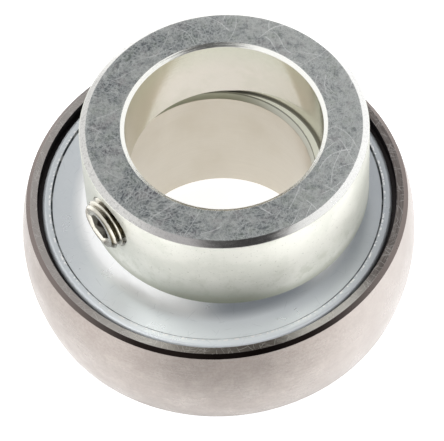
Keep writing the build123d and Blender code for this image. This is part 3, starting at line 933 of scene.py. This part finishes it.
blank_mesh = bpy.data.meshes.new("screw_blank")
blank_mesh.from_pydata(points, [], faces)
mark = blank_mesh.attributes.new("on_shank", "FLOAT", "POINT")
mark.data.foreach_set("value", [float(v) for v in on_shank])
deep = blank_mesh.attributes.new("socket_depth", "FLOAT", "POINT")
to_corner = [(r - SOCKET_FLATS / 2) / (SOCKET_CORNER - SOCKET_FLATS / 2) for r in hexagon()]
shaded = [1.0] * (2 * POINTS_ROUND) + [SHADE_ON_FLATS + (1 - SHADE_ON_FLATS) * c for c in to_corner]
deep.data.foreach_set("value", shaded + [0.0] * (len(points) - len(shaded)))
blank = bpy.data.objects.new("threaded_set_screw", blank_mesh)
bpy.context.scene.collection.objects.link(blank)
print("blank:", len(points), "points")

# %% [markdown]
# A thread follows a rule: at each place on the shank, the height above the groove depends only on how
# far the point lies along the axis and round it. Geometry Nodes can say that rule directly. The tree
# finds the place within one pitch, makes a ridge from it, and moves each shank point in to the lower of
# the ridge and the blank, so that the end chamfers cut the thread off as they do on a real screw.

# %% The thread as a rule
RIDGE_SLOPE = 1.25

cutter = bpy.data.node_groups.new("cut_thread", "GeometryNodeTree")
face = cutter.interface
face.new_socket(name="Geometry", in_out="INPUT", socket_type="NodeSocketGeometry")
for label in ("Pitch", "Depth", "Radius"):
    face.new_socket(name=label, in_out="INPUT", socket_type="NodeSocketFloat")
face.new_socket(name="Material", in_out="INPUT", socket_type="NodeSocketMaterial")
face.new_socket(name="Geometry", in_out="OUTPUT", socket_type="NodeSocketGeometry")

given = cutter.nodes.new("NodeGroupInput").outputs
position = add(cutter, "GeometryNodeInputPosition").outputs[0]
radius, axes = radius_and_height(cutter, position)
angle = calc(cutter, "ARCTAN2", axes["Y"], axes["X"])
turns_round = calc(cutter, "DIVIDE", angle, 2 * math.pi)
turns_along = calc(cutter, "DIVIDE", axes["Z"], given["Pitch"])
place_in_pitch = calc(cutter, "FRACT", calc(cutter, "SUBTRACT", turns_along, turns_round))
off_crest = calc(cutter, "ABSOLUTE", calc(cutter, "MULTIPLY_ADD", place_in_pitch, 2.0, -1.0))
ridge = calc(cutter, "MULTIPLY_ADD", off_crest, -RIDGE_SLOPE, (1 + RIDGE_SLOPE) / 2, clamp=True)
below_crest = calc(cutter, "SUBTRACT", ridge, 1.0)
ridge_radius = calc(cutter, "MULTIPLY_ADD", below_crest, given["Depth"], given["Radius"])
new_radius = calc(cutter, "MINIMUM", radius, ridge_radius)
new_x = calc(cutter, "MULTIPLY", new_radius, calc(cutter, "COSINE", angle))
new_y = calc(cutter, "MULTIPLY", new_radius, calc(cutter, "SINE", angle))
new_place = add(cutter, "ShaderNodeCombineXYZ", {0: new_x, 1: new_y, 2: axes["Z"]}).outputs[0]
named = add(cutter, "GeometryNodeInputNamedAttribute", {"Name": "on_shank"}, data_type="FLOAT")
shank = named.outputs[0]
chosen = calc(cutter, "GREATER_THAN", shank, 0.5)
height = calc(cutter, "MAXIMUM", ridge, calc(cutter, "SUBTRACT", 1.0, shank))
stored = {"Geometry": given["Geometry"], "Name": "thread_height", "Value": height}
kept = add(cutter, "GeometryNodeStoreNamedAttribute", stored)
moved = {"Geometry": kept.outputs[0], "Selection": chosen, "Position": new_place}
cut = add(cutter, "GeometryNodeSetPosition", moved)
solid = add(cutter, "GeometryNodeRealizeInstances", {0: cut.outputs[0]})
dressed = {"Geometry": solid.outputs[0], "Material": given["Material"]}
coated = add(cutter, "GeometryNodeSetMaterial", dressed)
add(cutter, "NodeGroupOutput", {0: coated.outputs[0]})
print("thread tree:", len(cutter.nodes), "nodes")

# %% [markdown]
# The modifier's inputs are set by the identifiers of their sockets. The evaluated result becomes a plain
# mesh, which is then turned to the screw's axis and put in its place, so that the object itself stays at
# the origin.

# %% The screw, threaded and in place
SHARP_DEGREES = 40

modifier = blank.modifiers.new("thread", "NODES")
modifier.node_group = cutter
values = {"Pitch": THREAD_PITCH, "Depth": THREAD_DEPTH, "Radius": SCREW_RADIUS}
values["Material"] = finishes["screw_steel"]
for socket in face.items_tree:
    if socket.in_out == "INPUT" and socket.name in values:
        modifier[socket.identifier] = values[socket.name]
blank.update_tag()
bpy.context.view_layer.update()
evaluated = blank.evaluated_get(bpy.context.evaluated_depsgraph_get())
screw_mesh = bpy.data.meshes.new_from_object(evaluated)
blank.modifiers.clear()
screw = blank
screw.data = screw_mesh

screw_side = Vector((0, 0, 1)).cross(screw_axis)
screw_turn = Matrix((screw_side, screw_axis.cross(screw_side), screw_axis)).transposed().to_4x4()
screw_mesh.transform(Matrix.Translation(screw_middle) @ screw_turn @ Matrix.Scale(MM, 4))
screw_mesh.polygons.foreach_set("use_smooth", [True] * len(screw_mesh.polygons))
screw_mesh.set_sharp_from_angle(angle=math.radians(SHARP_DEGREES))
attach(screw, "set_screw")
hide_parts("set_screw")
print("screw mesh:", len(screw_mesh.polygons), "faces")
